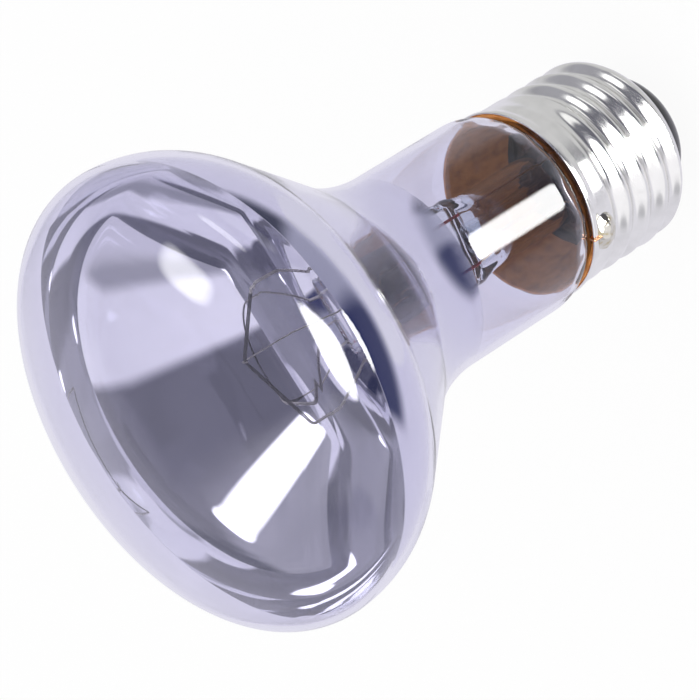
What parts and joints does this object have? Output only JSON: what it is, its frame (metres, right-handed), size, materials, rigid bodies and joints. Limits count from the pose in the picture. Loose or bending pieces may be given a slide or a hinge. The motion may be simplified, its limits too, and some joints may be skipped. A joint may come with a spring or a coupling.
{
  "type": "reflector heat lamp bulb",
  "caption": "Reflector heat lamp bulb: clear tinted glass with a mirrored bowl and domed front, filament mount on a pressed glass stem, and an E27 screw cap with two contacts.",
  "frame": {"origin": "tip of the centre contact, on the lamp's axis", "axes": "+Z along the axis from the cap to the domed front; +Y away from the picture's view; the filament leads stand close to the XZ plane"},
  "size_m": [0.0636, 0.0634, 0.0969],
  "materials": {
    "tinted_glass": "clear, light lilac tint",
    "mirror_film": "evaporated aluminium mirror",
    "stem_glass": "clear lead glass",
    "plated_shell": "nickel-plated rolled sheet",
    "black_insulator": "black moulded glass",
    "contact_brass": "stamped",
    "solder": "solidified tin solder",
    "brown_cement": "baked basing cement",
    "seal_wire": "borated copper sheath",
    "nickel_wire": "drawn wire",
    "copper_wire": "drawn wire",
    "tungsten": "coiled fine wire"
  },
  "bodies": {
    "root": {"glass_envelope": "tinted_glass", "mirror_coating": "mirror_film", "screw_shell": "plated_shell", "insulator": "black_insulator", "contact_plate": "contact_brass", "tip_solder": "solder", "side_solder": "solder", "basing_cement": "brown_cement", "stem": "stem_glass", "exhaust_tube": "stem_glass", "centre_lead_wire": "copper_wire", "side_lead_wire": "copper_wire", "seal_wire_left": "seal_wire", "seal_wire_right": "seal_wire", "inner_lead_left": "nickel_wire", "inner_lead_right": "nickel_wire", "filament": "tungsten", "filament_support": "nickel_wire"}
  },
  "joints": []
}
